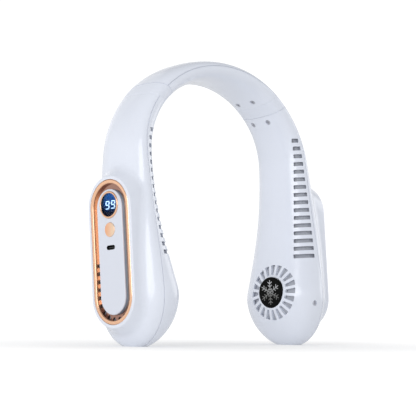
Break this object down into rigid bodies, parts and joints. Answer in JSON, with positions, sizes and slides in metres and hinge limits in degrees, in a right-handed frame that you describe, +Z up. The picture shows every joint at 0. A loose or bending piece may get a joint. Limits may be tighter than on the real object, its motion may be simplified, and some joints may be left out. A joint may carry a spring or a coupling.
{
  "type": "electric neck fan",
  "caption": "U-shaped bladeless neck fan on two pods, with hinged arms, blowers behind radial grilles, outlet slots, gold side rings and a lit display.",
  "frame": {"origin": "centre of the box on the plane of the two soles", "axes": "+X across to the plain arm, -Y to the open front, +Z up to the arch"},
  "size_m": [0.2054, 0.072, 0.2165],
  "materials": {
    "black_gloss": "black piano gloss",
    "board": "green circuit board",
    "bronze": "sintered bronze",
    "cable": "black insulation",
    "cell": "foil pouch",
    "copper": "wound copper on laminations",
    "dark_plastic": "dark moulded plastic",
    "display_glass": "tinted glass",
    "grey_nylon": "moulded nylon",
    "lit_white": "lit white segments",
    "rose_gold": "polished rose gold",
    "silver": "bright silver print",
    "soft_sleeve": "soft silicone, satin",
    "steel": "bare steel",
    "white_plastic": "glossy moulded plastic"
  },
  "bodies": {
    "neck": {"neck_outer_shell": "white_plastic", "neck_inner_shell": "white_plastic", "neck_wire": "cable", "neck_screws": "steel", "left_hinge_clevis": "grey_nylon", "left_hinge_pin": "steel", "left_hinge_washers": "grey_nylon", "left_hinge_sleeve": "soft_sleeve", "right_hinge_clevis": "grey_nylon", "right_hinge_pin": "steel", "right_hinge_washers": "grey_nylon", "right_hinge_sleeve": "soft_sleeve"},
    "left_arm": {"left_arm_outer_shell": "white_plastic", "left_arm_inner_shell": "white_plastic", "left_arm_screws": "steel", "left_hinge_knuckle": "grey_nylon", "left_gold_ring": "rose_gold", "left_side_panel": "white_plastic", "left_badge": "black_gloss", "left_snowflake": "silver", "left_blower_housing": "dark_plastic", "left_battery": "cell", "left_motor_plate": "dark_plastic", "left_motor_bearing": "bronze", "left_motor_stator": "copper", "button_switch": "dark_plastic", "main_board": "board", "display_bezel": "rose_gold", "display_lens": "display_glass", "display_module": "dark_plastic", "display_digits": "lit_white", "usb_shell": "steel", "usb_tongue": "dark_plastic"},
    "right_arm": {"right_arm_outer_shell": "white_plastic", "right_arm_inner_shell": "white_plastic", "right_arm_screws": "steel", "right_hinge_knuckle": "grey_nylon", "right_gold_ring": "rose_gold", "right_side_panel": "white_plastic", "right_badge": "black_gloss", "right_snowflake": "silver", "right_blower_housing": "dark_plastic", "right_battery": "cell", "right_motor_plate": "dark_plastic", "right_motor_bearing": "bronze", "right_motor_stator": "copper"},
    "left_fan": {"left_impeller": "grey_nylon", "left_rotor_can": "steel", "left_motor_shaft": "steel"},
    "right_fan": {"right_impeller": "grey_nylon", "right_rotor_can": "steel", "right_motor_shaft": "steel"},
    "power_button": {"power_button": "rose_gold"}
  },
  "joints": [
    {"name": "left_shoulder", "type": "hinge", "parent": "neck", "child": "left_arm", "pos_m": [-0.05949, 0.01227, 0.18578], "axis": [0, 0.9962, -0.0872], "range_deg": [-8, 25], "deforming": ["left_hinge_sleeve"]},
    {"name": "left_fan_spin", "type": "hinge", "parent": "left_arm", "child": "left_fan", "pos_m": [-0.0764, -0.00485, 0.04063], "axis": [1, 0, 0], "continuous": true},
    {"name": "right_shoulder", "type": "hinge", "parent": "neck", "child": "right_arm", "pos_m": [0.05949, 0.01227, 0.18578], "axis": [0, -0.9962, 0.0872], "range_deg": [-8, 25], "deforming": ["right_hinge_sleeve"]},
    {"name": "right_fan_spin", "type": "hinge", "parent": "right_arm", "child": "right_fan", "pos_m": [0.0764, -0.00485, 0.04063], "axis": [1, 0, 0], "continuous": true},
    {"name": "button_press", "type": "slide", "parent": "left_arm", "child": "power_button", "axis": [1, 0, 0], "range_m": [0, 0.0005], "stiffness_N_per_m": 1000}
  ]
}
